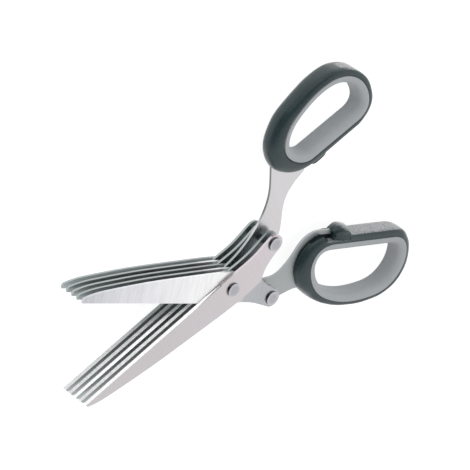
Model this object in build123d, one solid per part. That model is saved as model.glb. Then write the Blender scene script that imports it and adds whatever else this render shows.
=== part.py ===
from build123d import *
import math
import os

os.makedirs("parts", exist_ok=True)

# Herb scissors: five pairs of blades on one pivot, two ring handles and a sliding latch.
# +Z is the pivot axis. The origin is on that axis, at the underside of the pivot rivet's back head.
# A member is drawn closed, with X from the pivot to the handles and the cutting edge towards +Y,
# and is then turned about Z to the opening of the rest pose. The thumb member has the front blade
# of each pair and the smaller ring. The finger member has the back blade and the larger ring, and
# is mirrored across the centre line first.

# Opening
half_opening = 17.65            # degrees that each member is turned from tips level
over_close = 1.9                # degrees past tips level when the handles are shut

# Blades
blade_pairs = 5
blade_length = 85.0             # pivot axis to tip
blade_thickness = 1.2
pair_pitch = 3.6
play = 0.05                     # between faces that turn on each other
spine_drop = 7.9                # deepest point of the spine, below the centre line
edge_rise = 6.9                 # cutting edge above the centre line at its heel
edge_heel = 5.0                 # heel of the cutting edge, in front of the pivot axis
bevel_width = 0.7
bevel_land = 0.15
heel_reach = 14.3               # corner where the spine turns up, behind the pivot axis
heel_drop = 6.6
heel_round = 1.3
heel_angle = -131.0             # heading of the tail's underside where it meets the heel corner
spine_shares = [(0.06, 0.99), (-0.235, 0.99), (-0.588, 0.835), (-0.82, 0.62), (-0.94, 0.43)]
tip_shares = (-0.99, 0.26)      # spine corner of the blunt tip

# Tail of each blade, round its tail rivet
tail_reach = 26.4               # tail rivet behind the pivot axis
tail_offset = 6.75              # tail rivet beside the centre line
tail_radius = 4.4
tail_top_angle = 105.0
tail_low_angle = -75.0
tail_top_shares = [(0.326, -0.029), (0.655, -0.046)]
tail_low_shares = [(0.365, -0.078), (0.661, -0.086)]

# Rivets, sleeves and washers
rivet_radius = 1.6
head_radius = 3.2
head_height = 1.0
head_chamfer = 0.25
sleeve_radius = 2.7
washer_radius = 3.0

# Rings: the parting line between shell and liner has a straight side and a curved side
shell_depth = 10.2
shell_round = 3.1
shell_wall = 3.7                # at the straight side
liner_depth = 10.8
liner_round = 3.1
liner_wall = 3.8
tang_cover = 1.2                # shell left between the steel tang and the liner
ring_reach = 72.0               # pivot axis to the middle of the thumb ring's straight side
ring_lag = 6.75                 # how much further the finger ring's is

thumb_loop = dict(
    length=48.2, width=29.6,
    reach=ring_reach, offset=33.25,     # middle of the straight side
    lean=3.2,                   # degrees, straight side against the centre line
    straight_share=0.28,        # half of the straight side
    outline_shares=[(0.43, 0.10), (0.480, 0.32), (0.448, 0.628), (0.29, 0.912), (0.107, 1.0),
                    (-0.207, 0.932), (-0.421, 0.75), (-0.52, 0.456), (-0.461, 0.179)],
    wall_shares=[0.89, 0.84, 0.84, 0.92, 1.0, 1.16, 1.52, 1.74, 1.66])

finger_loop = dict(
    length=59.2, width=30.5,
    reach=ring_reach + ring_lag, offset=-16.2,
    lean=-1.53,
    straight_share=0.317,
    outline_shares=[(0.425, 0.068), (0.493, 0.36), (0.459, 0.652), (0.365, 0.855), (0.194, 0.97),
                    (-0.008, 1.0), (-0.228, 0.925), (-0.395, 0.75), (-0.483, 0.515),
                    (-0.507, 0.295), (-0.463, 0.098)],
    wall_shares=[1.0, 0.95, 0.81, 0.70, 0.65, 0.65, 0.78, 1.10, 1.58, 1.58, 1.45])

# Arms: an edge's end is a share of its ring, its points are shares along and across its span
thumb_arm = dict(
    outer_end_shares=(-0.650, 0.275), inner_end_shares=(-0.377, -0.076),
    outer_shares=[(0.230, -0.141), (0.422, -0.190), (0.649, -0.188), (0.795, -0.140),
                  (0.936, -0.046)],
    inner_shares=[(0.951, -0.026), (0.895, -0.040), (0.758, -0.016), (0.621, -0.029),
                  (0.477, -0.089), (0.365, -0.115), (0.268, -0.056), (0.190, -0.004),
                  (0.103, 0.011)])
finger_arm = dict(
    outer_end_shares=(-0.53, 0.734), inner_end_shares=(-0.40, -0.175),
    outer_shares=[(0.283, 0.015), (0.472, 0.037), (0.660, 0.072), (0.811, 0.061),
                  (0.925, 0.017)],
    inner_shares=[(0.898, -0.028), (0.797, -0.022), (0.697, 0.026), (0.587, 0.131),
                  (0.467, 0.226), (0.344, 0.274), (0.225, 0.260), (0.116, 0.216),
                  (0.049, 0.124)])
tang_shares = (-0.33, 0.40)     # point in the ring's opening that both edges of a tang aim at

# Latch on the finger ring's straight side, its profile in shares of its length and height
latch_start = -18.6             # pivot end of its block, from the middle of the straight side
latch_length = 11.3
latch_height = 7.3              # crown above the parting line
latch_half_width = 3.7
latch_travel = 6.0              # towards the pivot, free to locked
latch_beak_shares = [(0.0, 0.800), (-0.124, 0.812), (-0.150, 0.849)]
latch_crown_shares = [(-0.090, 0.895), (0.044, 0.945), (0.212, 0.985), (0.380, 1.0),
                      (0.566, 0.940), (0.770, 0.790), (0.930, 0.600), (1.0, 0.440)]
latch_shoulder_shares = (0.80, 0.52)    # height of the crown at the front and the back face
latch_plan_shares = [(-0.150, -0.43), (0.25, -1.0), (0.93, -1.0), (1.0, -0.8), (1.0, 0.7),
                     (0.90, 1.0), (0.10, 1.0), (-0.150, 0.45)]
slide_clearance = 0.3
track_depth = 1.1               # below the shell's flat side
rail_height = 1.6               # steel rail above the shell's flat side
slot_height = 2.8               # room for the steel in the latch, above the shell's flat side
pin_radius = 0.6
pin_height = 4.1
pin_place_share = 0.62
pin_inset = 0.2

# Stop pad on the thumb ring's straight side, its profile in shares of its length and height
stop_start = -14.5
stop_length = 9.3
stop_height = 1.8
stop_half_width = 3.9
stop_root = 1.2                 # how deep the pad is let into the shell
stop_shares = [(0.24, 1.0), (0.60, 1.0), (0.90, 0.55)]

# Catch hook behind the thumb arm, placed by the latch's hook when the handles are shut
catch_clearance = 0.3
catch_foot = 1.6
catch_stem = 2.4
catch_width = 2.2
catch_step = 1.6                # boss above the foot, clear of the finger arm
catch_rise = 11.0               # stem above the foot, up into the shell

overrun = 5.0                   # how far a cutter passes what it cuts

# Heights through the stack
stack_height = (blade_pairs - 1) * pair_pitch + 2 * blade_thickness + 2 * play
middle = (blade_pairs + 1) // 2
unit_pair = (1, 1)              # a curve leaves and arrives along its two given headings


def thumb_z(k):
    """Underside of the k-th thumb blade, counted from the front."""
    return head_height + stack_height - (k - 1) * pair_pitch - blade_thickness


def finger_z(k):
    """Underside of the k-th finger blade, counted from the front."""
    return thumb_z(k) - play - blade_thickness


thumb_mid = thumb_z(middle) + blade_thickness / 2
finger_mid = finger_z(middle) + blade_thickness / 2


def polar(centre, radius, angle):
    a = math.radians(angle)
    return (centre[0] + radius * math.cos(a), centre[1] + radius * math.sin(a))


def heading(angle):
    return polar((0, 0), 1, angle)


def between(start, end, shares):
    """Points at (along, across) shares of the span from start to end."""
    dx, dy = end[0] - start[0], end[1] - start[1]
    return [(start[0] + a * dx - c * dy, start[1] + a * dy + c * dx) for a, c in shares]


def slab(face, low, high):
    """A face drawn at z = 0 made a plate from z = low to z = high."""
    return Pos(0, 0, low) * extrude(face, high - low, dir=(0, 0, 1))


def disc(place, low, high, radius):
    return slab(Pos(*place) * Circle(radius).face(), low, high)


def block(x_span, y_span, low, high):
    """A straight block between two x, two y and two z values."""
    size_x, size_y = x_span[1] - x_span[0], y_span[1] - y_span[0]
    centre = ((x_span[0] + x_span[1]) / 2, (y_span[0] + y_span[1]) / 2)
    return slab(Pos(*centre) * Rectangle(size_x, size_y).face(), low, high)


# Blade outlines

tip = (-blade_length, 0)
tip_low = (tip_shares[0] * blade_length, -tip_shares[1] * spine_drop)
heel = (heel_reach, -heel_drop)
spine_points = [(sx * blade_length, -sy * spine_drop) for sx, sy in spine_shares]
edge_end = (-edge_heel, edge_rise)
edge_angle = math.degrees(math.atan2(edge_rise, blade_length - edge_heel))
tail_centre = (tail_reach, tail_offset)


def close_blade(edges):
    """The face of a blade whose other edges run from the cutting edge's heel to the heel corner."""
    outline = Line(tip, edge_end) + edges + Spline(heel, *spine_points, tip_low)
    return make_face(outline + Line(tip_low, tip))


def plain_blade_face():
    top = polar(tail_centre, tail_radius, tail_top_angle)
    low = polar(tail_centre, tail_radius, tail_low_angle)
    far = polar(tail_centre, tail_radius, (tail_top_angle + tail_low_angle) / 2)
    top_points = between(edge_end, top, tail_top_shares)
    low_points = between(low, heel, tail_low_shares)
    top_ways = (heading(edge_angle), heading(tail_top_angle - 90))
    low_ways = (heading(tail_low_angle - 90), heading(heel_angle))
    edges = (Spline(edge_end, *top_points, top, tangents=top_ways, tangent_scalars=unit_pair)
             + ThreePointArc(top, far, low)
             + Spline(low, *low_points, heel, tangents=low_ways, tangent_scalars=unit_pair))
    return close_blade(edges)


# Ring outlines, in the ring's own frame: u along its straight side, v towards its curved side

def loop_place(loop):
    return Pos(loop["reach"], loop["offset"], 0) * Rot(0, 0, loop["lean"])


def loop_point(loop, u, v):
    """A point of the ring's frame, in the member's frame."""
    x, y, _ = (loop_place(loop) * Pos(u, v, 0)).position
    return (x, y)


def loop_share(loop, shares):
    return loop_point(loop, shares[0] * loop["length"], shares[1] * loop["width"])


def loop_face(loop, straight_wall, walls):
    """The parting line with each point moved out by its wall, or in by a negative one."""
    half = loop["straight_share"] * loop["length"]
    curve = [(a * loop["length"], b * loop["width"]) for a, b in loop["outline_shares"]]
    line = [(half, 0)] + curve + [(-half, 0)]
    moved = []
    for before, point, after, wall in zip(line, curve, line[2:], walls):
        run = (after[0] - before[0], after[1] - before[1])
        step = wall / math.hypot(*run)
        moved.append((point[0] + step * run[1], point[1] - step * run[0]))
    start, end = (half, -straight_wall), (-half, -straight_wall)
    along = heading(0)
    curved_side = Spline(start, *moved, end, tangents=(along, along), tangent_scalars=unit_pair)
    return loop_place(loop) * make_face(Line(end, start) + curved_side)


def even_face(loop, wall):
    return loop_face(loop, wall, [wall] * len(loop["outline_shares"]))


def shell_face(loop):
    return loop_face(loop, shell_wall, [shell_wall * share for share in loop["wall_shares"]])


# Arm blades: the middle blade of each group runs on into its ring

def arm_blade_face(loop, arm, rail=()):
    """A blade whose tail is drawn out into the arm. Rail points edge the tang past the arm."""
    outer_end = loop_share(loop, arm["outer_end_shares"])
    inner_end = loop_share(loop, arm["inner_end_shares"])
    aim = loop_share(loop, tang_shares)
    inner_points = between(heel, inner_end, arm["inner_shares"])
    edges = (Spline(edge_end, *between(edge_end, outer_end, arm["outer_shares"]), outer_end)
             + Polyline(outer_end, aim, *rail, inner_end)
             + Spline(inner_end, *inner_points, heel))
    return close_blade(edges)


def tang_cut(loop):
    """What a tang leaves to the liner and the shell's cover over it."""
    return slab(even_face(loop, tang_cover), 0, overrun + stack_height + 2 * head_height)


# Drilling, bevelling and placing

def bevel_cutter(low, high):
    """The wedge that grinds the cutting edge, deepest at z = high."""
    rise = high - low - math.copysign(bevel_land, high - low)
    root = low + math.copysign(bevel_land, high - low)
    inward = heading(edge_angle - 90)
    along = heading(edge_angle)
    plane = Plane(origin=(tip[0], tip[1], 0), x_dir=(*inward, 0), z_dir=(*along, 0))
    up = plane.y_dir.Z
    near = (-bevel_width, up * (root - rise))
    far = (2 * bevel_width, up * (root + 2 * rise))
    wedge = make_face(Polyline(near, far, (near[0], far[1]), close=True))
    span = math.hypot(blade_length - edge_heel, edge_rise)
    return plane.offset(-overrun) * extrude(wedge, span + overrun, dir=(0, 0, 1))


def soften_heel(solid):
    """Round the corner between spine and tail."""
    upright = solid.edges().filter_by(Axis.Z)
    corner = min(upright, key=lambda e: math.dist((e.center().X, e.center().Y), heel))
    return fillet(corner, heel_round)


def blade_solid(face, low, pivot_radius, bevel_up):
    high = low + blade_thickness
    solid = soften_heel(slab(face, low, high))
    span = (low, high) if bevel_up else (high, low)
    solid -= bevel_cutter(*span)
    solid -= disc((0, 0), low - overrun, high + overrun, pivot_radius)
    return solid - disc(tail_centre, low - overrun, high + overrun, rivet_radius)


def thumb_place(shape):
    return Rot(0, 0, half_opening) * shape


def finger_place(shape):
    return Rot(0, 0, -half_opening) * mirror(shape, about=Plane.XZ)


def rivet(place, low, high):
    """A shank with a flat chamfered head at both ends; low and high are the faces it clamps."""
    heads = []
    for start, end, outside in ((low - head_height, low, 0), (high, high + head_height, -1)):
        head = disc(place, start, end, head_radius)
        rim = head.faces().sort_by(Axis.Z)[outside].edges()
        heads.append(chamfer(rim, head_chamfer))
    return heads[0] + disc(place, low, high, rivet_radius) + heads[1]


def sleeve(place, low, high, radius):
    return disc(place, low, high, radius) - disc(place, low, high, rivet_radius)


# Rings

def ring_shell(loop, mid):
    half = shell_depth / 2
    body = slab(shell_face(loop), mid - half, mid + half)
    rims = body.faces().filter_by(Axis.Z).edges()
    body = fillet(rims, shell_round)
    return body - slab(even_face(loop, 0), mid - shell_depth, mid + shell_depth)


def ring_liner(loop, mid):
    half = liner_depth / 2
    body = slab(even_face(loop, 0), mid - half, mid + half)
    body -= slab(even_face(loop, -liner_wall), mid - liner_depth, mid + liner_depth)
    rims = [e for f in body.faces().filter_by(Axis.Z) for w in f.inner_wires() for e in w.edges()]
    return fillet(rims, liner_round)


def loop_slab(loop, face, low, high):
    return slab(loop_place(loop) * face, low, high)


def loop_block(loop, u_span, w_span, low, high):
    """A block on the ring's straight side, w being the height above the parting line."""
    return loop_place(loop) * block(u_span, (-w_span[1], -w_span[0]), low, high)


# Latch, track and rail, all in the finger ring's frame

latch_end = latch_start + latch_length
track_floor = shell_wall - track_depth
rail_top = shell_wall + rail_height
pin_place = latch_start + pin_place_share * latch_length
rail_end = latch_end - slide_clearance - pin_radius


def latch_uw(shares):
    return (latch_start + shares[0] * latch_length, shares[1] * latch_height)


def latch_profile():
    """The latch seen along the pivot axis, v pointing down from the parting line."""
    low = track_floor + slide_clearance
    beak = [latch_uw(shares) for shares in latch_beak_shares]
    crown = [beak[-1]] + [latch_uw(shares) for shares in latch_crown_shares]
    under = [crown[-1], (latch_end, low), (latch_start, low)] + beak
    flip = [[(u, -w) for u, w in points] for points in (under, crown)]
    return make_face(Polyline(*flip[0]) + Spline(*flip[1]))


def latch_section():
    """The latch seen along its travel: straight faces under a crown that falls to the back."""
    half = latch_half_width
    front, back = (share * latch_height for share in latch_shoulder_shares)
    sides = Polyline((-half, back), (-half, 0), (half, 0), (half, front))
    crown = ThreePointArc((half, front), (0, latch_height), (-half, back))
    start = latch_start - overrun
    plane = Plane(origin=(start, 0, finger_mid), x_dir=(0, 0, 1), z_dir=(1, 0, 0))
    return plane * extrude(make_face(sides + crown), latch_end + overrun - start, dir=(0, 0, 1))


def latch_plan():
    """The latch seen from above its crown, narrower at the back of its beak."""
    corners = [(latch_start + a * latch_length, b * latch_half_width)
               for a, b in latch_plan_shares]
    plane = Plane(origin=(0, 0, finger_mid), x_dir=(1, 0, 0), z_dir=(0, -1, 0))
    face = make_face(Polyline(*corners, close=True))
    return plane * extrude(face, latch_height + overrun, dir=(0, 0, 1))


def latch_slider():
    low, high = finger_mid - latch_half_width, finger_mid + latch_half_width
    body = slab(latch_profile(), low, high) & latch_section() & latch_plan()
    gap = blade_thickness / 2 + slide_clearance
    slot = block((latch_start - latch_length, latch_end + overrun),
                 (-shell_wall - slot_height, 0), finger_mid - gap, finger_mid + gap)
    return loop_place(finger_loop) * (body - slot) - pin_bar(latch_half_width + overrun)


def pin_bar(half_length):
    place = loop_point(finger_loop, pin_place, -pin_height)
    return disc(place, finger_mid - half_length, finger_mid + half_length, pin_radius)


def pin_slot(low, high):
    """The slot in the rail that the cross pin slides along."""
    half = pin_radius + play
    face = Pos(pin_place - latch_travel / 2, -pin_height) * SlotCenterToCenter(latch_travel, 2 * half)
    return loop_slab(finger_loop, face, low, high)


def latch_track():
    half = latch_half_width + slide_clearance
    span = (latch_start - latch_travel - slide_clearance, latch_end + slide_clearance)
    return loop_block(finger_loop, span, (track_floor, shell_wall + overrun),
                      finger_mid - half, finger_mid + half)


def rail_points():
    return [loop_point(finger_loop, rail_end, v) for v in (0, -rail_top)]


# Stop pad, in the thumb ring's frame

def stop_pad():
    low, top = shell_wall - stop_root, shell_wall
    foot = [(stop_start + stop_length, -top), (stop_start + stop_length, -low),
            (stop_start, -low), (stop_start, -top)]
    curve = [(stop_start + a * stop_length, -top - b * stop_height) for a, b in stop_shares]
    face = make_face(Polyline(*foot) + Spline(foot[-1], *curve, foot[0]))
    return loop_slab(thumb_loop, face, thumb_mid - stop_half_width, thumb_mid + stop_half_width)


# Catch hook, in the thumb member's frame

def shut_point(shares, travel):
    """Where a point of the moved latch lies in the thumb member's frame, handles shut."""
    u, w = latch_uw(shares)
    x, y = loop_point(finger_loop, u - travel, -w)
    turned = (Rot(0, 0, over_close) * Pos(x, -y, 0)).position
    return (turned.X, turned.Y)


def catch_hook():
    """A stem down the back of the thumb arm, with a foot towards the latch's beak."""
    locked = [shut_point(shares, latch_travel) for shares in latch_beak_shares]
    foot_top = min(y for _, y in locked) - catch_clearance
    inner, right = locked[-1][0] - catch_clearance, locked[0][0] - catch_clearance
    left = inner - catch_stem
    front = finger_z(middle) - catch_clearance
    back = front - catch_width
    boss_low = foot_top + catch_step
    top = foot_top + catch_rise
    foot = block((left, right), (foot_top - catch_foot, foot_top), back, front)
    stem = block((left, inner), (foot_top, top), back, front)
    boss = block((left, inner), (boss_low, top), front, thumb_z(middle))
    return foot + stem + boss


# Build every piece

nodes = {}
pivot = (0, 0)
cut_low, cut_high = -overrun, head_height + stack_height + overrun

for k in range(1, blade_pairs + 1):
    if k == middle:
        thumb_face = arm_blade_face(thumb_loop, thumb_arm)
        finger_face = arm_blade_face(finger_loop, finger_arm, rail_points())
    else:
        thumb_face = finger_face = plain_blade_face()
    thumb_blade = blade_solid(thumb_face, thumb_z(k), rivet_radius, bevel_up=True)
    finger_blade = blade_solid(finger_face, finger_z(k), rivet_radius + play, bevel_up=False)
    if k == middle:
        thumb_blade -= tang_cut(thumb_loop)
        finger_blade = finger_blade - tang_cut(finger_loop) - pin_slot(cut_low, cut_high)
        thumb_tang, finger_tang = thumb_blade, finger_blade
    suffix = "arm_blade" if k == middle else f"blade_{k}"
    nodes[f"thumb_{suffix}"] = thumb_place(thumb_blade)
    nodes[f"finger_{suffix}"] = finger_place(finger_blade)

for k in range(1, blade_pairs):
    thumb_span = (thumb_z(k + 1) + blade_thickness, thumb_z(k))
    finger_span = (finger_z(k + 1) + blade_thickness, finger_z(k))
    washer_span = (thumb_z(k + 1) + blade_thickness, finger_z(k) - play)
    nodes[f"thumb_sleeve_{k}"] = thumb_place(sleeve(tail_centre, *thumb_span, sleeve_radius))
    nodes[f"finger_sleeve_{k}"] = finger_place(sleeve(tail_centre, *finger_span, sleeve_radius))
    nodes[f"pivot_washer_{k}"] = sleeve(pivot, *washer_span, washer_radius)

thumb_front = thumb_z(1) + blade_thickness
nodes["pivot_rivet"] = rivet(pivot, head_height, thumb_front)
nodes["thumb_tail_rivet"] = thumb_place(rivet(tail_centre, thumb_z(blade_pairs), thumb_front))
nodes["finger_tail_rivet"] = finger_place(
    rivet(tail_centre, finger_z(blade_pairs), finger_z(1) + blade_thickness))

thumb_stop = stop_pad()
thumb_catch = catch_hook() - thumb_tang - tang_cut(thumb_loop)
thumb_shell = ring_shell(thumb_loop, thumb_mid) - thumb_tang - thumb_stop - thumb_catch
nodes["thumb_ring_shell"] = thumb_place(thumb_shell)
nodes["thumb_ring_liner"] = thumb_place(ring_liner(thumb_loop, thumb_mid))
nodes["thumb_stop_pad"] = thumb_place(thumb_stop)
nodes["thumb_catch_hook"] = thumb_place(thumb_catch)

finger_shell = ring_shell(finger_loop, finger_mid) - finger_tang - latch_track()
nodes["finger_ring_shell"] = finger_place(finger_shell)
nodes["finger_ring_liner"] = finger_place(ring_liner(finger_loop, finger_mid))
nodes["latch_slider"] = finger_place(latch_slider())
nodes["latch_pin"] = finger_place(pin_bar(latch_half_width - pin_inset))

for name, shape in nodes.items():
    export_step(shape, f"parts/{name}.step")
    print(name, len(shape.solids()), round(shape.volume, 1))
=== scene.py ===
import math

import bmesh
import bpy
from mathutils import Matrix, Vector


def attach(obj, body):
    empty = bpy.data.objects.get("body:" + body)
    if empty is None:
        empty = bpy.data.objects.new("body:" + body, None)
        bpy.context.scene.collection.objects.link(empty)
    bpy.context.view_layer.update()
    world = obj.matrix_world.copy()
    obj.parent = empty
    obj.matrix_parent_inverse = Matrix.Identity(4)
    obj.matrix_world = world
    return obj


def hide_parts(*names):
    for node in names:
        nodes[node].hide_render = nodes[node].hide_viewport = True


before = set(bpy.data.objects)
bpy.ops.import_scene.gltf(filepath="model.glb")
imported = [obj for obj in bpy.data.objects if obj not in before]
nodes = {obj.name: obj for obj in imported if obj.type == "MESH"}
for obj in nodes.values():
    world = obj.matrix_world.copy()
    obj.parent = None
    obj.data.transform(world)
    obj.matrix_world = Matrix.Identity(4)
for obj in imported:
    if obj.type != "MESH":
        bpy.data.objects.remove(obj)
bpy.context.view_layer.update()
print("frame loaded,", len(nodes), "nodes")

halfOpening = math.radians(17.65)       # each member is turned this far from tips level


# Colours and shader nodes

def srgb(code):
    # hex colour as the eye sees it, made linear
    parts = [int(code[i:i + 2], 16) / 255 for i in (1, 3, 5)]
    return [c / 12.92 if c <= 0.04045 else ((c + 0.055) / 1.055) ** 2.4 for c in parts] + [1.0]


def addNode(tree, kind, values=None, links=None, **settings):
    node = tree.nodes.new(kind)
    for name, value in settings.items():
        setattr(node, name, value)
    for name, value in (values or {}).items():
        node.inputs[name].default_value = value
    for name, source in (links or {}).items():
        tree.links.new(source, node.inputs[name])
    return node


def newMaterial(name):
    material = bpy.data.materials.new(name)
    material.use_nodes = True
    material.node_tree.nodes.clear()
    return material, material.node_tree


def fillRamp(ramp, stops):
    # stops: (position, colour), in rising order
    elements = ramp.color_ramp.elements
    elements[0].position, elements[1].position = stops[0][0], stops[-1][0]
    elements[0].color, elements[1].color = srgb(stops[0][1]), srgb(stops[-1][1])
    for position, code in stops[1:-1]:
        elements.new(position).color = srgb(code)


def finishMaterial(tree, surface):
    addNode(tree, "ShaderNodeOutputMaterial", links={"Surface": surface.outputs[0]})


# Stainless steel sheet, brushed across the blade: fine lines at right angles to its length that
# blur what it mirrors. Its tone drifts along the blade, and on some blades that drift is painted
# light. The ground edge is smoother and brighter, and tapers away where the blades cross. The
# sides may be darker than the faces: that is painted shade.

brushed = {
    "markWidth": 0.0009,        # real marks are near 0.05 mm, drawn coarse enough to show
    "markLength": 0.016, "markThrough": 0.01, "markDepth": 0.0002, "bump": 0.015,
    "grainSpan": (0.3, 0.7),    # the part of the noise that shows, from its darkest to its palest
    "toneSpan": (-0.09, 0.06),
    # how far up a surface faces, with what may differ: the ground slope, and the sides that get
    # painted shade
    "groundFacing": (0.55, 0.2), "sideShadeFacing": (0.0, 0.25),
    "sideShadeFade": 0.006,          # along the blade
    "groundColour": "#F2F2F2",
    "unground": "#A09C9F",
    "groundWidth": 0.0007,
    "groundTaper": (-0.0200, -0.0005),  # where the ground edge starts to narrow, and where it ends
    "edgeSlope": 6.9 / 80.0,            # the cutting edge against the blade's length
    "edgeStart": 0.085,
    # a painted shadow line at the heel of the cutting edge, where the blades cross: dark on its
    # slope and grey on its side, over this stretch, as deep as this at its end, and only where it
    # faces up less than this
    "shadowLineColour": "#2E2A2C", "shadowLineSide": "#C2BDBF",
    "shadowLineSpan": (-0.015, 0.003), "shadowLineDepth": 0.0003, "shadowLineFacing": 0.85,
    # the part of the finger arm that is the latch's rail, which gets painted shade: past this
    # along the member, and no further out than this across it
    "railFrom": 0.0537, "railTop": 0.0189, "railFacing": 0.5,
}


def brushedSteel(name, turn, tones, contrast=0.03, roughness=(0.24, 0.34), paintedSideShade=None,
                 sideShadeFrom=-1.0, tapered=False, markWidth=brushed["markWidth"], railShade=None):
    # tones: (millimetres along the blade, colour)
    material, tree = newMaterial(name)
    place = addNode(tree, "ShaderNodeTexCoord")
    along = addNode(tree, "ShaderNodeMapping", {"Rotation": (0, 0, turn)},
                    {"Vector": place.outputs["Object"]}, vector_type="TEXTURE")
    axes = addNode(tree, "ShaderNodeSeparateXYZ", links={"Vector": along.outputs["Vector"]})
    low, high = brushed["toneSpan"]
    drift = addNode(tree, "ShaderNodeMapRange", {"From Min": low, "From Max": high},
                    {"Value": axes.outputs["X"]})
    ramp = addNode(tree, "ShaderNodeValToRGB", links={"Fac": drift.outputs["Result"]})
    fillRamp(ramp, [((millimetres / 1000 - low) / (high - low), code)
                    for millimetres, code in tones])
    lines = addNode(tree, "ShaderNodeMapping",
                    {"Rotation": (0, 0, turn),
                     "Scale": (markWidth, brushed["markLength"], brushed["markThrough"])},
                    {"Vector": place.outputs["Object"]}, vector_type="TEXTURE")
    marks = addNode(tree, "ShaderNodeTexNoise", {"Scale": 1.0, "Detail": 3.0, "Roughness": 0.65},
                    {"Vector": lines.outputs["Vector"]})
    darkest, palest = brushed["grainSpan"]
    shade = addNode(tree, "ShaderNodeMapRange",
                    {"From Min": darkest, "From Max": palest, "To Min": 1 - contrast,
                     "To Max": 1 + contrast / 2}, {"Value": marks.outputs["Fac"]})
    marked = addNode(tree, "ShaderNodeMix", {0: 1.0},
                     {6: ramp.outputs["Color"], 7: shade.outputs["Result"]},
                     data_type="RGBA", blend_type="MULTIPLY")
    facing = addNode(tree, "ShaderNodeSeparateXYZ", links={"Vector": place.outputs["Normal"]})
    level, spread = brushed["groundFacing"]
    slope = addNode(tree, "ShaderNodeMath", {1: level, 2: spread}, {0: facing.outputs["Z"]},
                    operation="COMPARE")
    ground = addNode(tree, "ShaderNodeMix", {7: srgb(brushed["groundColour"])},
                     {0: slope.outputs["Value"], 6: marked.outputs[2]}, data_type="RGBA")
    # painted shade on the sides: from a given distance along the blade on, faces that point up
    # little are darker
    if paintedSideShade:
        level, spread = brushed["sideShadeFacing"]
        upright = addNode(tree, "ShaderNodeMath", {1: level, 2: spread}, {0: facing.outputs["Z"]},
                          operation="COMPARE")
        darkened = addNode(tree, "ShaderNodeMapRange",
                           {"From Min": sideShadeFrom, "From Max": sideShadeFrom + brushed["sideShadeFade"]},
                           {"Value": axes.outputs["X"], "To Max": upright.outputs["Value"]})
        ground = addNode(tree, "ShaderNodeMix", {7: srgb(paintedSideShade)},
                         {0: darkened.outputs["Result"], 6: ground.outputs[2]}, data_type="RGBA")
    if tapered:
        ground = taperGround(tree, axes, facing, slope, ground)
    if railShade:
        ground = darkenRail(tree, axes, facing, ground, railShade)
    rough = addNode(tree, "ShaderNodeMapRange",
                    {"From Min": darkest, "From Max": palest, "To Min": roughness[0],
                     "To Max": roughness[1]}, {"Value": marks.outputs["Fac"]})
    bump = addNode(tree, "ShaderNodeBump",
                   {"Strength": brushed["bump"], "Distance": brushed["markDepth"]},
                   {"Height": marks.outputs["Fac"]})
    steel = addNode(tree, "ShaderNodeBsdfPrincipled", {"Metallic": 1.0},
                    {"Base Color": ground.outputs[2], "Roughness": rough.outputs["Result"],
                     "Normal": bump.outputs["Normal"]})
    finishMaterial(tree, steel)
    return material


def taperGround(tree, axes, facing, slope, colour):
    # the ground edge narrows to nothing at the heel, where a painted shadow line runs along it.
    # Depth is measured into the blade from the line of its cutting edge.
    rise = addNode(tree, "ShaderNodeMath",
                   {1: brushed["edgeSlope"], 2: brushed["edgeSlope"] * brushed["edgeStart"]},
                   {0: axes.outputs["X"]}, operation="MULTIPLY_ADD")
    depth = addNode(tree, "ShaderNodeMath", {}, {0: rise.outputs["Value"], 1: axes.outputs["Y"]},
                    operation="SUBTRACT")
    start, end = brushed["groundTaper"]
    width = addNode(tree, "ShaderNodeMapRange",
                    {"From Min": start, "From Max": end, "To Min": brushed["groundWidth"],
                     "To Max": 0.0}, {"Value": axes.outputs["X"]})
    beyond = addNode(tree, "ShaderNodeMath", {}, {0: depth.outputs["Value"],
                                                  1: width.outputs["Result"]},
                     operation="GREATER_THAN")
    tapering = addNode(tree, "ShaderNodeMath", {1: start}, {0: axes.outputs["X"]},
                       operation="GREATER_THAN")
    both = addNode(tree, "ShaderNodeMath", {}, {0: beyond.outputs["Value"],
                                                1: tapering.outputs["Value"]},
                   operation="MULTIPLY")
    plain = addNode(tree, "ShaderNodeMath", {}, {0: both.outputs["Value"],
                                                 1: slope.outputs["Value"]}, operation="MULTIPLY")
    faded = addNode(tree, "ShaderNodeMix", {7: srgb(brushed["unground"])},
                    {0: plain.outputs["Value"], 6: colour.outputs[2]}, data_type="RGBA")
    # painted shadow line along the heel of the cutting edge
    start, end = brushed["shadowLineSpan"]
    shadowLine = addNode(tree, "ShaderNodeMapRange",
                  {"From Min": start, "From Max": end, "To Min": 0.0,
                   "To Max": brushed["shadowLineDepth"]}, {"Value": axes.outputs["X"]}, clamp=False)
    outside = addNode(tree, "ShaderNodeMath", {}, {0: depth.outputs["Value"],
                                                   1: shadowLine.outputs["Result"]},
                      operation="LESS_THAN")
    before = addNode(tree, "ShaderNodeMath", {1: end}, {0: axes.outputs["X"]},
                     operation="LESS_THAN")
    steep = addNode(tree, "ShaderNodeMath", {1: brushed["shadowLineFacing"]}, {0: facing.outputs["Z"]},
                    operation="LESS_THAN")
    steepBefore = addNode(tree, "ShaderNodeMath", {}, {0: before.outputs["Value"],
                                                       1: steep.outputs["Value"]},
                          operation="MULTIPLY")
    dark = addNode(tree, "ShaderNodeMath", {}, {0: outside.outputs["Value"],
                                                1: steepBefore.outputs["Value"]},
                   operation="MULTIPLY")
    shadowLineTone = addNode(tree, "ShaderNodeMix", {6: srgb(brushed["shadowLineSide"]),
                                              7: srgb(brushed["shadowLineColour"])},
                      {0: slope.outputs["Value"]}, data_type="RGBA")
    return addNode(tree, "ShaderNodeMix", {},
                   {0: dark.outputs["Value"], 6: faded.outputs[2], 7: shadowLineTone.outputs[2]},
                   data_type="RGBA")


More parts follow.
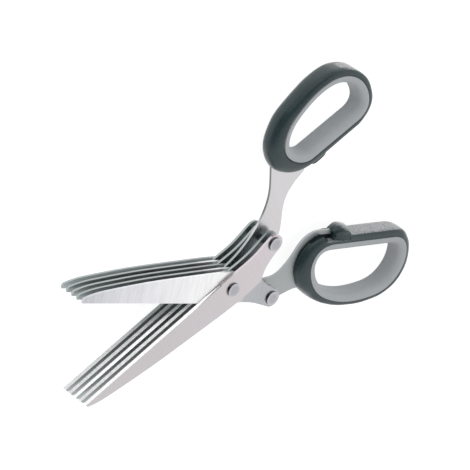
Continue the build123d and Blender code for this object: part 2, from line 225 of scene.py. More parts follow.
def darkenRail(tree, axes, facing, colour, railShade):
    # the flat of the arm inside the latch's notch is painted dark as shade, and its outermost
    # strip is left bare
    beyond = addNode(tree, "ShaderNodeMath", {1: brushed["railFrom"]}, {0: axes.outputs["X"]},
                     operation="GREATER_THAN")
    below = addNode(tree, "ShaderNodeMath", {1: brushed["railTop"]}, {0: axes.outputs["Y"]},
                    operation="LESS_THAN")
    flat = addNode(tree, "ShaderNodeMath", {1: brushed["railFacing"]}, {0: facing.outputs["Z"]},
                   operation="GREATER_THAN")
    inside = addNode(tree, "ShaderNodeMath", {}, {0: beyond.outputs["Value"],
                                                  1: below.outputs["Value"]},
                     operation="MULTIPLY")
    amount = addNode(tree, "ShaderNodeMath", {}, {0: inside.outputs["Value"],
                                                  1: flat.outputs["Value"]},
                     operation="MULTIPLY")
    return addNode(tree, "ShaderNodeMix", {7: srgb(railShade)},
                   {0: amount.outputs["Value"], 6: colour.outputs[2]}, data_type="RGBA")


thumbFrontSteel = brushedSteel("brushedStainlessFrontBlade", halfOpening,
                               [(-85, "#CFCBCD"), (-40, "#CECACC"), (30, "#D8D0D4")], tapered=True)
# lighter from 18 mm on: painted light where the blades' shade falls on the arm; its sides carry
# painted shade
thumbArmSteel = brushedSteel("brushedStainlessThumbArm", halfOpening,
                             [(-85, "#B4BABA"), (8, "#A9B0B0"), (18, "#B9BCBD"), (25, "#D6D6D7"),
                              (33, "#D8D5D7"), (40, "#DAD8DA")],
                             paintedSideShade="#7A7D80", sideShadeFrom=0.024)
thumbSteel = brushedSteel("brushedStainlessThumbBlade", halfOpening,
                          [(-85, "#B4BABA"), (30, "#AEB6B6")], roughness=(0.36, 0.46))
# brighter towards the pivot, nearly white: a painted reflection
fingerFrontSteel = brushedSteel("brushedStainlessFingerFront", -halfOpening,
                                [(-85, "#CDCED3"), (-60, "#E4E4E9"), (-20, "#FAFAFB"),
                                 (2, "#FCFCFC"), (10, "#B9BBBE")], contrast=0.10,
                                markWidth=0.0014)
# its rail inside the latch's notch carries painted shade
fingerArmSteel = brushedSteel("brushedStainlessFingerArm", -halfOpening,
                              [(-85, "#B4BABA"), (20, "#ABAFB0"), (50, "#B6BABB")],
                              roughness=(0.42, 0.52), railShade="#2E3436")
# nearly white around the heel: a painted glint
fingerSteel = brushedSteel("brushedStainlessFingerBlade", -halfOpening,
                           [(-85, "#A9B0B0"), (-16, "#B8BEBE"), (-6, "#FAFAFA"),
                            (6, "#FAFAFA"), (11, "#AEB6B6")], roughness=(0.36, 0.46))
# pale all along: painted light in the shade behind the other blades, with painted shade on its
# sides
fingerRearSteel = brushedSteel("brushedStainlessRearBlade", -halfOpening,
                               [(-85, "#DDE3E3"), (30, "#DDE3E3")],
                               roughness=(0.65, 0.75), paintedSideShade="#C4CACB")


# Turned stainless rivets: satin, with rings left by the forming tool

turned = {
    "waveScale": 125.0,         # rings 2.5 mm apart: real ones, near 0.1 mm, would not show
    "roughness": (0.22, 0.34), "bump": 0.04, "ringDepth": 0.0002,
    # colour by how far the surface faces up or down: side, polished rim, flat end. The rivet
    # heads' dark side is painted shade.
    "facing": [(0.0, "#6E7072"), (0.45, "#7C7E80"), (0.86, "#D2D2D6"), (0.975, "#D2D2D6"),
               (0.995, "#B4B3B9")],
    "sleeveFacing": [(0.0, "#848D8E"), (0.9, "#949C9D"), (1.0, "#9AA1A2")],
}


def turnedSteel(name, centre, tones):
    material, tree = newMaterial(name)
    place = addNode(tree, "ShaderNodeTexCoord")
    own = addNode(tree, "ShaderNodeMapping", {"Location": centre},
                  {"Vector": place.outputs["Object"]}, vector_type="TEXTURE")
    rings = addNode(tree, "ShaderNodeTexWave",
                    {"Scale": turned["waveScale"], "Distortion": 1.5, "Detail": 2.0},
                    {"Vector": own.outputs["Vector"]}, wave_type="RINGS", rings_direction="Z")
    rough = addNode(tree, "ShaderNodeMapRange",
                    {"To Min": turned["roughness"][0], "To Max": turned["roughness"][1]},
                    {"Value": rings.outputs["Fac"]})
    bump = addNode(tree, "ShaderNodeBump",
                   {"Strength": turned["bump"], "Distance": turned["ringDepth"]},
                   {"Height": rings.outputs["Fac"]})
    facing = addNode(tree, "ShaderNodeSeparateXYZ", links={"Vector": place.outputs["Normal"]})
    upward = addNode(tree, "ShaderNodeMath", {}, {0: facing.outputs["Z"]}, operation="ABSOLUTE")
    ramp = addNode(tree, "ShaderNodeValToRGB", links={"Fac": upward.outputs["Value"]})
    fillRamp(ramp, tones)
    steel = addNode(tree, "ShaderNodeBsdfPrincipled", {"Metallic": 1.0},
                    {"Base Color": ramp.outputs["Color"], "Roughness": rough.outputs["Result"],
                     "Normal": bump.outputs["Normal"]})
    finishMaterial(tree, steel)
    return material


sleeveSteel = turnedSteel("turnedStainlessSleeve", (0, 0, 0), turned["sleeveFacing"])


# Moulded plastics: a spark-eroded texture makes their shine broad and soft, and slow clouds vary
# their tone. Roughness follows the texture.

moulded = {
    "grainSpan": (0.3, 0.7),    # the part of the texture that shows, from its pits to its peaks
    "grainDepth": 0.0003,
    "cloudScale": 45.0, "cloudShare": 0.5, "tintSpan": (0.5, 1.0),
    "sheenRoughness": 0.3, "coatRoughness": 0.3, "coatIor": 1.33,
}

paintedSheen = {
    # a painted sheen: the texture's peaks are pale on a side that faces this way, and
    # how squarely it has to. Short of the reach, only what faces it almost exactly.
    "toward": (0.277, 0.961, 0.0), "span": (0.74, 0.93), "square": 0.997,
    "reach": (0.063, 0.069),    # from here on, along X
    "colour": "#B4B8BB", "speckle": (0.38, 0.60), "least": 0.3,
}


def paintSheenPeaks(tree, place, texture, colour):
    toward = addNode(tree, "ShaderNodeVectorMath", {1: paintedSheen["toward"]},
                     {0: place.outputs["Normal"]}, operation="DOT_PRODUCT")
    side = addNode(tree, "ShaderNodeMapRange",
                   {"From Min": paintedSheen["span"][0], "From Max": paintedSheen["span"][1]},
                   {"Value": toward.outputs["Value"]}, interpolation_type="SMOOTHSTEP")
    peaks = addNode(tree, "ShaderNodeMapRange",
                    {"From Min": paintedSheen["speckle"][0], "From Max": paintedSheen["speckle"][1],
                     "To Min": paintedSheen["least"]}, {"Value": texture.outputs["Fac"]})
    axes = addNode(tree, "ShaderNodeSeparateXYZ", links={"Vector": place.outputs["Object"]})
    far = addNode(tree, "ShaderNodeMapRange",
                  {"From Min": paintedSheen["reach"][0], "From Max": paintedSheen["reach"][1]},
                  {"Value": axes.outputs["X"]}, interpolation_type="SMOOTHSTEP")
    square = addNode(tree, "ShaderNodeMath", {1: paintedSheen["square"]},
                     {0: toward.outputs["Value"]}, operation="GREATER_THAN")
    where = addNode(tree, "ShaderNodeMath", {}, {0: far.outputs["Result"],
                                                 1: square.outputs["Value"]},
                    operation="MAXIMUM")
    speckled = addNode(tree, "ShaderNodeMath", {}, {0: side.outputs["Result"],
                                                    1: peaks.outputs["Result"]},
                       operation="MULTIPLY")
    amount = addNode(tree, "ShaderNodeMath", {}, {0: speckled.outputs["Value"],
                                                  1: where.outputs["Value"]},
                     operation="MULTIPLY")
    return addNode(tree, "ShaderNodeMix", {7: srgb(paintedSheen["colour"])},
                   {0: amount.outputs["Value"], 6: colour.outputs[2]}, data_type="RGBA")


def mouldedPlastic(name, grit, pale, dark, roughness, bump, specular, sheen=0.0, coat=0.0,
                   paintsSheen=False):
    material, tree = newMaterial(name)
    place = addNode(tree, "ShaderNodeTexCoord")
    texture = addNode(tree, "ShaderNodeTexNoise",
                      {"Scale": 1 / grit, "Detail": 3.0, "Roughness": 0.6},
                      {"Vector": place.outputs["Object"]})
    cloud = addNode(tree, "ShaderNodeTexNoise", {"Scale": moulded["cloudScale"], "Detail": 2.0},
                    {"Vector": place.outputs["Object"]})
    mixed = addNode(tree, "ShaderNodeMath", {1: moulded["cloudShare"]},
                    {0: cloud.outputs["Fac"], 2: texture.outputs["Fac"]}, operation="MULTIPLY_ADD")
    low, high = moulded["tintSpan"]
    tint = addNode(tree, "ShaderNodeMapRange", {"From Min": low, "From Max": high},
                   {"Value": mixed.outputs["Value"]})
    colour = addNode(tree, "ShaderNodeMix", {6: srgb(dark), 7: srgb(pale)},
                     {0: tint.outputs["Result"]}, data_type="RGBA")
    # painted sheen: pale speckle on the side that faces one way
    if paintsSheen:
        colour = paintSheenPeaks(tree, place, texture, colour)
    pits, peaks = moulded["grainSpan"]
    rough = addNode(tree, "ShaderNodeMapRange",
                    {"From Min": pits, "From Max": peaks, "To Min": roughness[0],
                     "To Max": roughness[1]}, {"Value": texture.outputs["Fac"]})
    relief = addNode(tree, "ShaderNodeBump",
                     {"Strength": bump, "Distance": moulded["grainDepth"]},
                     {"Height": texture.outputs["Fac"]})
    plastic = addNode(tree, "ShaderNodeBsdfPrincipled",
                      {"IOR": 1.5, "Specular IOR Level": specular, "Sheen Weight": sheen,
                       "Sheen Roughness": moulded["sheenRoughness"], "Coat Weight": coat,
                       "Coat Roughness": moulded["coatRoughness"],
                       "Coat IOR": moulded["coatIor"]},
                      {"Base Color": colour.outputs[2], "Roughness": rough.outputs["Result"],
                       "Normal": relief.outputs["Normal"]})
    finishMaterial(tree, plastic)
    return material


# the real grit is near 0.1 mm, drawn coarse enough to show
# glass-filled nylon: dark, grained, with a broad soft shine, and a painted sheen on the side that
# faces one way
shellPlastic = mouldedPlastic("texturedNylonShell", grit=0.0009, pale="#2C4246", dark="#1B2E32",
                              roughness=(0.34, 0.46), bump=0.8, specular=0.25, sheen=1.0,
                              coat=1.0, paintsSheen=True)
# ABS: nearly as dark, but smoother, so its crown holds a clearer highlight; it carries the same
# painted sheen
latchPlastic = mouldedPlastic("satinAbsLatch", grit=0.0005, pale="#2A4042", dark="#1E3032",
                              roughness=(0.22, 0.3), bump=0.1, specular=0.25, sheen=0.6,
                              coat=1.0, paintsSheen=True)
# the same nylon on its flank beside the arm, painted dark and dull as shade
shadedFlankPlastic = mouldedPlastic("nylonPaintedShade", grit=0.0009, pale="#202D31", dark="#162023",
                             roughness=(0.6, 0.7), bump=0.4, specular=0.1)
# TPE: a pale soft rubber, matt and nearly without texture
linerRubber = mouldedPlastic("softTpeLiner", grit=0.0007, pale="#BBC0C3", dark="#AFB4B7",
                             roughness=(0.45, 0.6), bump=0.08, specular=0.5, sheen=0.2)


# Finishes for the nodes that stay

ownSteel = {"thumb_blade_1": thumbFrontSteel, "thumb_arm_blade": thumbArmSteel,
            "finger_blade_1": fingerFrontSteel, "finger_arm_blade": fingerArmSteel,
            "finger_blade_5": fingerRearSteel}


def finishOf(name):
    if "blade" in name:
        return ownSteel.get(name, thumbSteel if name.startswith("thumb") else fingerSteel)
    if "shell" in name:
        return shellPlastic
    if "liner" in name:
        return linerRubber
    if name in ("latch_slider", "thumb_stop_pad", "thumb_catch_hook"):
        return latchPlastic
    return sleeveSteel


for name, node in nodes.items():
    node.data.materials.clear()
    node.data.materials.append(finishOf(name))
print("materials assigned")


# Placing: a ring's own frame has X along its straight side, Y away from the ring's opening there
# and Z along the pivot, with its origin on the parting line between shell and liner

millimetre = 0.001
ringPlaces = {
    # along the member and out from it, how far the straight side leans in degrees, and the height
    # of the ring's middle
    "thumb": {"reach": 0.072, "offset": 0.03325, "lean": 3.2, "middle": 0.0101},
    "finger": {"reach": 0.07875, "offset": 0.0162, "lean": 1.53, "middle": 0.00885},
}


def ringFrame(ring, memberTurn):
    member = Matrix.Rotation(memberTurn, 4, "Z")
    moved = Matrix.Translation((ring["reach"], ring["offset"], 0))
    return member @ moved @ Matrix.Rotation(math.radians(ring["lean"]), 4, "Z")


thumbRing = ringFrame(ringPlaces["thumb"], halfOpening)
fingerRing = ringFrame(ringPlaces["finger"], -halfOpening)
thumbMiddle = ringPlaces["thumb"]["middle"]
fingerMiddle = ringPlaces["finger"]["middle"]


def ringToPlace(form, middle, frameMatrix, mirrored=False):
    # from a ring's own millimetres to its place on the scissors
    across = -millimetre if mirrored else millimetre
    bmesh.ops.scale(form, vec=(millimetre, across, millimetre), verts=form.verts[:])
    bmesh.ops.translate(form, vec=(0, 0, middle), verts=form.verts[:])
    bmesh.ops.transform(form, matrix=frameMatrix, verts=form.verts[:])


def makePiece(name, form, material, slot, body, *replaced):
    mesh = bpy.data.meshes.new(name)
    form.to_mesh(mesh)
    form.free()
    mesh.materials.append(material)
    piece = bpy.data.objects.new(name, mesh)
    bpy.context.scene.collection.objects.link(piece)
    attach(piece, body)
    if replaced:
        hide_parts(*replaced)
    return piece


def smoothFaces(form, angle):
    # rounded places shade smoothly, corners sharper than the angle stay crisp
    for face in form.faces:
        face.smooth = True
    for edge in form.edges:
        if len(edge.link_faces) == 2 and edge.calc_face_angle(0.0) > math.radians(angle):
            edge.smooth = False


# Rivets: a turned profile, its heads' rims rounded over

rivets = {
    # in millimetres
    "shankRadius": 1.6, "headRadius": 3.2, "headHeight": 1.0,
    "rimRound": 0.12, "crown": 0.10, "chamfer": 0.28, "edgeRound": 0.05, "steps": 64,
    "flatShare": 0.1,           # of the crown, how far the flat end lies below the top
    "tailReach": 26.4, "tailOffset": 6.75,
    # the two faces that the heads clamp
    "pivotClamp": (1.0, 17.9), "thumbClamp": (2.3, 17.9), "fingerClamp": (1.05, 16.65),
    "near": 0.01,               # what counts as the same place
}


def buildRivet(name, centre, clamp, body):
    low, high = clamp
    shank, head, near = rivets["shankRadius"], rivets["headRadius"], rivets["near"]
    height, crown = rivets["headHeight"], rivets["crown"]
    rim = head - rivets["rimRound"]
    flat = rim - rivets["chamfer"]
    fall = crown * rivets["flatShare"]
    profile = [(0, low - height), (flat, low - height + fall),
               (rim, low - height + crown), (head, low - height + rivets["rimRound"] + crown),
               (head, low), (shank, low), (shank, high), (head, high),
               (head, high + height - rivets["rimRound"] - crown), (rim, high + height - crown),
               (flat, high + height - fall), (0, high + height)]
    form = bmesh.new()
    line = [form.verts.new((r, 0, z)) for r, z in profile]
    edges = [form.edges.new(pair) for pair in zip(line, line[1:])]
    bmesh.ops.spin(form, geom=line + edges, cent=(0, 0, 0), axis=(0, 0, 1), angle=math.tau,
                   steps=rivets["steps"], use_merge=True)
    bmesh.ops.remove_doubles(form, verts=form.verts[:], dist=0.0005)
    bmesh.ops.recalc_face_normals(form, faces=form.faces[:])
    # the round edges of both heads, but not where they bear on the blades
    rims = [edge for edge in form.edges
            if all(abs(v.co.xy.length - rim) < near for v in edge.verts)
            or all(abs(v.co.xy.length - head) < near for v in edge.verts)
            and abs(edge.verts[0].co.z - edge.verts[1].co.z) < near
            and not low - near < edge.verts[0].co.z < high + near]
    bmesh.ops.bevel(form, geom=rims, offset=rivets["edgeRound"], offset_type="OFFSET",
                    segments=3, profile=0.5, affect="EDGES", material=-1)
    smoothFaces(form, 40)
    bmesh.ops.scale(form, vec=(millimetre,) * 3, verts=form.verts[:])
    place = (centre[0] * millimetre, centre[1] * millimetre, 0)
    bmesh.ops.translate(form, vec=place, verts=form.verts[:])
    return makePiece(name + "Turned", form, turnedSteel(name + "Steel", place, turned["facing"]),
                     "rivet_steel", body, name)


def turnedPoint(x, y, angle):
    point = Matrix.Rotation(angle, 2) @ Vector((x, y))
    return (point.x, point.y)


tailReach, tailOffset = rivets["tailReach"], rivets["tailOffset"]
buildRivet("pivot_rivet", (0, 0), rivets["pivotClamp"], "thumb_member")
buildRivet("thumb_tail_rivet", turnedPoint(tailReach, tailOffset, halfOpening),
           rivets["thumbClamp"], "thumb_member")
buildRivet("finger_tail_rivet", turnedPoint(tailReach, -tailOffset, -halfOpening),
           rivets["fingerClamp"], "finger_member")
print("rivets turned")


# Thumb arm: its inner edge flares out to meet the ring's shell

flare = {
    # in millimetres: the stretch of the edge that moves, how steeply, and how far at most
    "low": (37.0, 37.0), "high": (43.0, 45.0), "slope": 0.85, "most": 3.0,
    "weld": 0.001,
}


def buildArm():
    form = bmesh.new()
    form.from_mesh(nodes["thumb_arm_blade"].data)
    bmesh.ops.remove_doubles(form, verts=form.verts[:], dist=flare["weld"] * millimetre)
    for vert in form.verts:
        x, y = vert.co.x / millimetre, vert.co.y / millimetre
        if flare["low"][0] < x < flare["high"][0] and flare["low"][1] < y < flare["high"][1]:
            move = min(flare["most"], flare["slope"] * (y - flare["low"][1]))
            vert.co.x += move * millimetre
    bmesh.ops.recalc_face_normals(form, faces=form.faces[:])
    smoothFaces(form, 30)
    return makePiece("thumbArmFlared", form, thumbArmSteel, "blade_steel", "thumb_member",
                     "thumb_arm_blade")


buildArm()
print("thumb arm flared")


# Ring shells: round and full where the hand holds them, squarer along the straight side.
# A section runs from the front rim at the parting line over the outer wall to the back rim.

shellSection = {
    # share of the wall, height above the middle in millimetres
    "round": [(0.0, 5.1), (0.22, 4.92), (0.45, 4.55), (0.66, 3.95), (0.82, 3.15), (0.93, 2.2),
              (0.985, 1.15), (1.0, 0.0)],
    "square": [(0.0, 5.1), (0.30, 5.1), (0.60, 5.07), (0.80, 4.9), (0.92, 4.5), (0.985, 3.8),
               (1.0, 2.6), (1.0, 0.0)],
    "blend": 20.0,              # how far round the bend the squarer form fades out
    "thinFrom": 3.9, "thinSpan": 1.0,   # thin walls are squarer too
    "fullness": 0.40,           # how far the outline runs on past the ends of the straight side
    "steps": 14,
    # the rows of the section that are painted dark as shade beside the arm, and how soon they
    # narrow away
    "shadedFlankRows": (5, 9), "shadedFlankTaper": 7.0,
}

thumbOutline = {
    "half": 13.5, "straightWall": (3.7, 3.3),   # its left and right ends
    "points": [(20.7, 3.0), (23.1, 9.5), (21.6, 18.6), (14.0, 27.0), (5.2, 29.6),
               (-10.0, 27.6), (-20.3, 22.2), (-25.1, 13.5), (-22.2, 5.3)],
    "walls": [3.1, 3.0, 3.0, 3.2, 3.5, 4.3, 6.0, 7.1, 7.0],
}

fingerOutline = {
    "half": 18.8, "straightWall": (3.7, 3.7),
    "points": [(25.2, 2.1), (29.2, 11.0), (27.2, 19.9), (21.6, 26.1), (11.5, 29.6),
               (-0.5, 30.5), (-13.5, 28.2), (-23.4, 22.9), (-28.6, 15.7), (-30.0, 9.0),
               (-27.4, 3.0)],
    "walls": [3.7, 3.4, 2.9, 2.5, 2.3, 2.2, 2.7, 4.0, 6.1, 6.4, 5.0],
    "shadedFlank": -17.0,              # left of this, beside the arm
}


def outlinePoints(outline, outward):
    # the parting line, or with outward = 1 the outer wall, with the ring's Y away from its opening
    half, points = outline["half"], outline["points"]
    line = [(half, 0.0)] + points + [(-half, 0.0)]
    moved = [(half, -outward * outline["straightWall"][1])]
    for before, point, after, wall in zip(line, points, line[2:], outline["walls"]):
        chord = Vector((after[0] - before[0], after[1] - before[1])).normalized()
        moved.append((point[0] + outward * wall * chord.y, point[1] - outward * wall * chord.x))
    moved.append((-half, -outward * outline["straightWall"][0]))
    return moved


def outlineLoop(points):
    # a closed curve through the points, its first and last joined by the straight side
    curve = bpy.data.curves.new("outline", "CURVE")
    curve.dimensions = "3D"
    spline = curve.splines.new("BEZIER")
    spline.bezier_points.add(len(points) - 1)
    for knot, (x, y) in zip(spline.bezier_points, points):
        knot.co = (x, y, 0)
        knot.handle_left_type = knot.handle_right_type = "AUTO"
    spline.use_cyclic_u = True
    spline.resolution_u = shellSection["steps"]
    first, last = spline.bezier_points[0], spline.bezier_points[-1]
    for knot, side, near in ((first, 1, points[1]), (last, -1, points[-2])):
        reach = (Vector(near) - knot.co.xy).length * shellSection["fullness"]
        knot.handle_left_type = knot.handle_right_type = "FREE"
        inner, outer = ("left", "right") if side == 1 else ("right", "left")
        setattr(knot, "handle_" + outer, knot.co + Vector((side * reach, 0, 0)))
        setattr(knot, "handle_" + inner, knot.co - Vector((side * first.co.x * 2 / 3, 0, 0)))
    holder = bpy.data.objects.new("outline", curve)
    bpy.context.scene.collection.objects.link(holder)
    bpy.context.view_layer.update()
    mesh = bpy.data.meshes.new_from_object(holder.evaluated_get(
        bpy.context.evaluated_depsgraph_get()))
    bpy.data.objects.remove(holder)
    return mesh


def buildShell(name, outline, mirrored, frameMatrix, middle, body, node):
    parting = outlineLoop(outlinePoints(outline, 0))
    outer = outlineLoop(outlinePoints(outline, 1))
    wallAt = [v.co.copy() for v in outer.vertices]
    half, blend = outline["half"], shellSection["blend"]
    thinFrom, thinSpan = shellSection["thinFrom"], shellSection["thinSpan"]
    front = list(zip(shellSection["round"], shellSection["square"]))
    back = [((r[0], -r[1]), (q[0], -q[1])) for r, q in reversed(front[:-1])]
    form = bmesh.new()
    count = len(parting.vertices)
    for pair in front + back:
        form.from_mesh(parting)
    form.verts.ensure_lookup_table()
    rows = []
    for place, (roundSpot, squareSpot) in enumerate(front + back):
        row = form.verts[place * count:(place + 1) * count]
        for vert, wall in zip(row, wallAt):
            bend = max(0.0, abs(vert.co.x) - half) + max(0.0, vert.co.y)
            square = max(0.0, 1 - bend / blend) ** 2
            thin = (thinFrom - (wall - vert.co).length) / thinSpan
            square = max(square, min(1.0, thin))
            share = roundSpot[0] + (squareSpot[0] - roundSpot[0]) * square
            height = roundSpot[1] + (squareSpot[1] - roundSpot[1]) * square
            vert.co = vert.co.lerp(wall, share)
            vert.co.z = height
        rows.append(row)
    loops = [[edge for edge in form.edges if edge.verts[0] in set(row)] for row in rows]
    # faces of the flank beside the arm take the second material, painted dark as shade
    shadedFlank = outline.get("shadedFlank")
    first, last = shellSection["shadedFlankRows"]
    for place, (one, two) in enumerate(zip(loops, loops[1:] + loops[:1])):
        made = bmesh.ops.bridge_loops(form, edges=one + two)["faces"]
        for face in made:
            face.smooth = True
            spot = face.calc_center_median()
            start = first + spot.y / shellSection["shadedFlankTaper"]
            if shadedFlank and spot.x < shadedFlank and start <= place <= last:
                face.material_index = 1
    ringToPlace(form, middle, frameMatrix, mirrored)
    bmesh.ops.recalc_face_normals(form, faces=form.faces[:])
    piece = makePiece(name, form, shellPlastic, "shell_plastic", body, node)
    if shadedFlank:
        piece.data.materials.append(shadedFlankPlastic)
    return piece


thumbShell = buildShell("thumbShellMoulded", thumbOutline, False, thumbRing, thumbMiddle,
                        "thumb_member", "thumb_ring_shell")
fingerShell = buildShell("fingerShellMoulded", fingerOutline, True, fingerRing, fingerMiddle,
                         "finger_member", "finger_ring_shell")
print("shells moulded", len(thumbShell.data.polygons), len(fingerShell.data.polygons))

# The latch's track: a notch in the finger ring's straight side, open at the front, its end askew

track = {
    "start": -24.9, "end": -7.2, "floor": 1.1, "back": -4.0, "front": 7.0, "top": 9.0,
    "cornerRound": 0.35,
    "skew": 0.28, "skewStart": -14.0, "skewSpan": 6.5,  # its right end leans, its left end doesn't
}


def askew(u, z):
    # how far the latch's and the notch's right end leans back at depth z
    amount = max(0.0, min(1.0, (u - track["skewStart"]) / track["skewSpan"]))
    return -track["skew"] * (z - track["back"]) * amount


def makeBlock(low, high, rounding):
    form = bmesh.new()
    bmesh.ops.create_cube(form, size=1.0)
    bmesh.ops.scale(form, vec=[b - a for a, b in zip(low, high)], verts=form.verts[:])
    bmesh.ops.translate(form, vec=[(a + b) / 2 for a, b in zip(low, high)], verts=form.verts[:])
    if rounding:
        bmesh.ops.bevel(form, geom=form.edges[:], offset=rounding, offset_type="OFFSET",
                        segments=3, profile=0.5, affect="EDGES", material=-1)
    return form


def carve(piece, form, angle):
    # takes the block away from the piece and keeps the result as plain mesh
    mesh = bpy.data.meshes.new("block")
    form.to_mesh(mesh)
    form.free()
    block = bpy.data.objects.new("block", mesh)
    bpy.context.scene.collection.objects.link(block)
    cut = piece.modifiers.new("cut", "BOOLEAN")
    cut.object = block
    cut.operation = "DIFFERENCE"
    cut.solver = "EXACT"
    bpy.context.view_layer.update()
    carved = bpy.data.meshes.new_from_object(piece.evaluated_get(
        bpy.context.evaluated_depsgraph_get()))
    piece.modifiers.clear()
    piece.data = carved
    bpy.data.objects.remove(block)
    form = bmesh.new()
    form.from_mesh(carved)
    smoothFaces(form, angle)
    form.to_mesh(carved)
    form.free()


notch = makeBlock((track["start"], track["floor"], track["back"]),
                  (track["end"], track["top"], track["front"]), track["cornerRound"])
for vert in notch.verts:
    vert.co.x += askew(vert.co.x, vert.co.z)
ringToPlace(notch, fingerMiddle, fingerRing)
carve(fingerShell, notch, 35)
print("track cut", len(fingerShell.data.polygons))


# Latch: a moulded slider. Its crown is flat enough to catch the light on the right, and falls in
# a soft dome to a beak on the left that hooks over the catch.

latch = {
    # side view, X along the ring's straight side and Y away from it
    "profile": [(-18.8, 1.4), (-13.0, 1.4), (-7.5, 1.4), (-7.2, 3.2), (-7.1, 4.9), (-7.8, 6.1),
                (-9.9, 6.9), (-12.3, 7.5), (-14.6, 7.9), (-16.3, 7.7), (-17.9, 6.9),
                (-19.1, 6.0), (-19.9, 5.1), (-19.5, 4.9), (-18.8, 4.9), (-18.5, 4.2),
                (-18.7, 2.8)],
    # depth from the middle, how high the crown reaches on the left and on the right, and how far
    # the beak is cut back
    "slices": [(-3.7, 0.60, 0.70, 3.0), (-3.4, 0.74, 0.84, 2.0), (-2.0, 0.93, 0.97, 0.5),
               (0.0, 1.0, 1.0, 0.0), (2.0, 0.95, 0.97, 0.3), (3.6, 0.82, 0.85, 0.8),
               (4.6, 0.70, 0.74, 1.3), (4.9, 0.64, 0.68, 1.5)],
    "leftEnd": -18.0, "rightEnd": -14.5,
    "beakStart": -14.0, "beakSpan": 6.0, "beakHeight": 3.0,     # where the beak is cut back
    "taper": 0.3, "taperSpan": 5.0,     # the front narrows towards the beak
    "baseCrease": 0.9, "rimCrease": 0.92,
    "slotStart": -18.9, "slotHalf": 0.9, "slotTop": 5.6,
}


def buildLatch():
    form = bmesh.new()
    crease = form.edges.layers.float.new("crease_edge")
    slices = latch["slices"]
    corners = [form.verts.new((x, y, slices[0][0])) for x, y in latch["profile"]]
    face = form.faces.new(corners)
    rows = [corners]
    for before, after in zip(slices, slices[1:]):
        made = bmesh.ops.extrude_face_region(form, geom=[face])["geom"]
        face = next(item for item in made if isinstance(item, bmesh.types.BMFace))
        row = [item for item in made if isinstance(item, bmesh.types.BMVert)]
        bmesh.ops.translate(form, vec=(0, 0, after[0] - before[0]), verts=row)
        rows.append(row)
    base = latch["profile"][0][1]
    for row, (_, riseLeft, riseRight, cut) in zip(rows, slices):
        for vert in row:
            tallness = max(0.0, vert.co.y - base)
            right = (vert.co.x - latch["leftEnd"]) / (latch["rightEnd"] - latch["leftEnd"])
            rise = riseLeft + (riseRight - riseLeft) * max(0.0, min(1.0, right))
            past = max(0.0, latch["beakStart"] - vert.co.x)
            beak = min(1.0, past / latch["beakSpan"]) * min(1.0, tallness / latch["beakHeight"])
            vert.co.y = base + tallness * rise
            if vert.co.z > 0:
                vert.co.z *= 1 - latch["taper"] * min(1.0, past / latch["taperSpan"])
            vert.co.x += cut * beak + askew(vert.co.x, vert.co.z)
    bmesh.ops.recalc_face_normals(form, faces=form.faces[:])
    ends = (slices[0][0], slices[-1][0])
    for edge in form.edges:
        if all(v.co.y < base + 0.01 for v in edge.verts):
            edge[crease] = latch["baseCrease"]
        elif edge.verts[0].co.z == edge.verts[1].co.z and any(
                abs(edge.verts[0].co.z - end) < 0.01 for end in ends):
            edge[crease] = latch["rimCrease"]
    for face in form.faces:
        face.smooth = True
    ringToPlace(form, fingerMiddle, fingerRing)
    piece = makePiece("latchDome", form, latchPlastic, "latch_plastic", "latch", "latch_slider")
    rounding = piece.modifiers.new("rounding", "SUBSURF")
    rounding.levels = rounding.render_levels = 3
    slot = makeBlock((latch["slotStart"], 0.0, -latch["slotHalf"]),
                     (0.0, latch["slotTop"], latch["slotHalf"]), 0)
    ringToPlace(slot, fingerMiddle, fingerRing)
    carve(piece, slot, 50)
    return piece


latchDome = buildLatch()
print("latch shaped", len(latchDome.data.polygons))


# Stop pad: a half-moon bumper on the thumb ring, let into the shell

pad = {
    # side view in the thumb ring's own frame
    "profile": [(-14.5, -2.5), (-5.2, -2.5), (-5.2, -3.7), (-6.0, -4.75), (-7.2, -5.3),
                (-8.9, -5.5), (-10.8, -5.55), (-12.4, -5.45), (-13.6, -4.9), (-14.4, -4.0)],
    "halfWidth": 3.9, "rimRound": 0.55, "roundBelow": -3.6,
}


def buildPad():
    form = bmesh.new()
    corners = [form.verts.new((x, y, -pad["halfWidth"])) for x, y in pad["profile"]]
    face = form.faces.new(corners)
    made = bmesh.ops.extrude_face_region(form, geom=[face])["geom"]
    row = [item for item in made if isinstance(item, bmesh.types.BMVert)]
    bmesh.ops.translate(form, vec=(0, 0, 2 * pad["halfWidth"]), verts=row)
    bmesh.ops.recalc_face_normals(form, faces=form.faces[:])
    rims = [edge for edge in form.edges
            if edge.verts[0].co.z == edge.verts[1].co.z
            and min(v.co.y for v in edge.verts) < pad["roundBelow"]]
    bmesh.ops.bevel(form, geom=rims, offset=pad["rimRound"], offset_type="OFFSET", segments=4,
                    profile=0.5, affect="EDGES", material=-1)
    smoothFaces(form, 50)
    ringToPlace(form, thumbMiddle, thumbRing)
    return makePiece("stopPadRounded", form, latchPlastic, "latch_plastic", "thumb_member",
                     "thumb_stop_pad")


buildPad()
print("stop pad shaped")


# Floor, light and camera

stage = {
    "floorSize": 3.0,
    "floorColour": "#D9D9D9",
    "shadowColour": "#B0B0B0",      # what is left for the lamps to light where the floor is seen
    "floorGlow": 0.84,
    # the studio's light on matt surfaces, and what polished ones mirror: away from the dark side,
    # and in it
    "worldLevel": 0.98, "darkFill": 0.65,
    "mirrorLevel": 1.2, "darkLevel": 0.08,
    "darkSide": (-0.54, 0.54, 0.65), "darkSpan": (0.42, 0.86),
    "lampPlace": (-0.10, 1.15, 0.50), "lampAim": (0.0, 0.0, 0.0),
    "lampSize": 0.7, "lampPower": 2.0,
}

shot = {
    # the photograph's own place and turn, in the row frame, and its very long lens
    "place": (-0.77869, 0.81741, 0.95658),
    "right": (0.7752973, 0.01438472, 0.63143276),
    "up": (0.33369718, 0.83948405, -0.42885046),
    "sensor": 36.0, "lensPixels": 3375.0, "imagePixels": 470.0,
    "nearest": 0.05, "farthest": 20.0,
}


